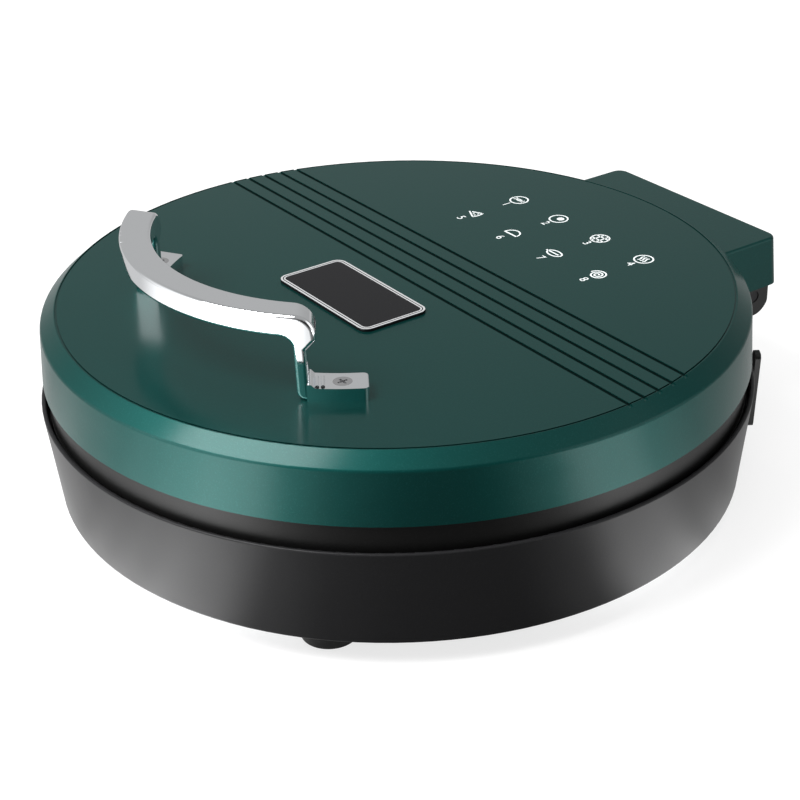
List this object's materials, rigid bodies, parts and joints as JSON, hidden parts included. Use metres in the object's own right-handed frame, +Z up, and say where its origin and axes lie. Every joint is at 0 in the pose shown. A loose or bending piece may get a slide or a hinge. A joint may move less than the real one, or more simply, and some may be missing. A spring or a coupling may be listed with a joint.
{
  "type": "electric baking pan",
  "caption": "Round countertop cooker with a heated pan in the base and a heated lid that lifts, floats and tips back on a rear hinge.",
  "frame": {"origin": "middle of the whole object's footprint, on the table under the feet", "axes": "+X to the right seen from the handle side, +Y towards the hinge, +Z up"},
  "size_m": [0.3364, 0.3608, 0.1399],
  "materials": {
    "base_black": "satin black",
    "lid_green": "dark blue-green metallic paint, satin",
    "ring_plastic": "satin, heat resistant",
    "hinge_plastic": "satin black",
    "inlet_plastic": "fine matt",
    "terminal_plastic": "plain",
    "foot_rubber": "matt",
    "handle_chrome": "bright plated",
    "plate_black": "gloss black with a plain silver border",
    "plate_steel": "galvanised",
    "screw_steel": "zinc plated",
    "pin_steel": "bright",
    "black_steel": "black oxide",
    "bottom_steel": "galvanised sheet",
    "tube_steel": "dark heat-stained",
    "reflector_aluminium": "bright",
    "tray_coating": "dark non-stick coating on cast aluminium",
    "lead_sleeve": "woven glass sleeve"
  },
  "bodies": {
    "base": {"base_shell": "base_black", "bottom_plate": "bottom_steel", "bottom_plate_screws": "screw_steel", "foot_front_left": "foot_rubber", "foot_front_right": "foot_rubber", "foot_rear_left": "foot_rubber", "foot_rear_right": "foot_rubber", "foot_screws": "screw_steel", "foot_nuts": "screw_steel", "terminal_block": "terminal_plastic", "terminal_block_screws": "screw_steel", "base_ring": "ring_plastic", "base_ring_screws": "screw_steel", "hinge_block": "hinge_plastic", "hinge_block_screws": "screw_steel", "carriage_stop_screws": "screw_steel", "power_inlet": "inlet_plastic", "inlet_pins": "pin_steel", "cord_post_right": "hinge_plastic", "cord_post_left": "hinge_plastic", "cord_post_screws": "screw_steel", "base_leads": "lead_sleeve", "lower_tray": "tray_coating", "lower_heating_tube": "tube_steel", "lower_reflector": "reflector_aluminium", "lower_thermostat": "terminal_plastic", "lower_thermostat_bracket": "plate_steel", "lower_thermal_fuse": "lead_sleeve", "lower_fuse_clip": "plate_steel", "lower_tray_clamps": "plate_steel", "lower_clamp_screws": "screw_steel"},
    "carriage": {"hinge_carriage": "hinge_plastic", "hinge_pin": "black_steel"},
    "lid": {"lid_cover": "lid_green", "lid_ring": "ring_plastic", "lid_ring_screws": "screw_steel", "handle": "handle_chrome", "handle_screws": "screw_steel", "handle_nuts": "screw_steel", "nameplate": "plate_black", "hinge_housing": "hinge_plastic", "hinge_housing_screws": "screw_steel", "lid_terminal_block": "terminal_plastic", "lid_terminal_screws": "screw_steel", "lid_leads": "lead_sleeve", "upper_tray": "tray_coating", "upper_heating_tube": "tube_steel", "upper_reflector": "reflector_aluminium", "upper_thermostat": "terminal_plastic", "upper_thermostat_bracket": "plate_steel", "upper_thermal_fuse": "lead_sleeve", "upper_fuse_clip": "plate_steel", "upper_tray_clamps": "plate_steel", "upper_clamp_screws": "screw_steel"}
  },
  "joints": [
    {"name": "hinge_float", "type": "slide", "parent": "base", "child": "carriage", "axis": [0, 0, 1], "range_m": [0, 0.015]},
    {"name": "lid_open", "type": "hinge", "parent": "carriage", "child": "lid", "pos_m": [0, 0.16635, 0.0632], "axis": [-1, 0, 0], "range_deg": [0, 105]}
  ]
}
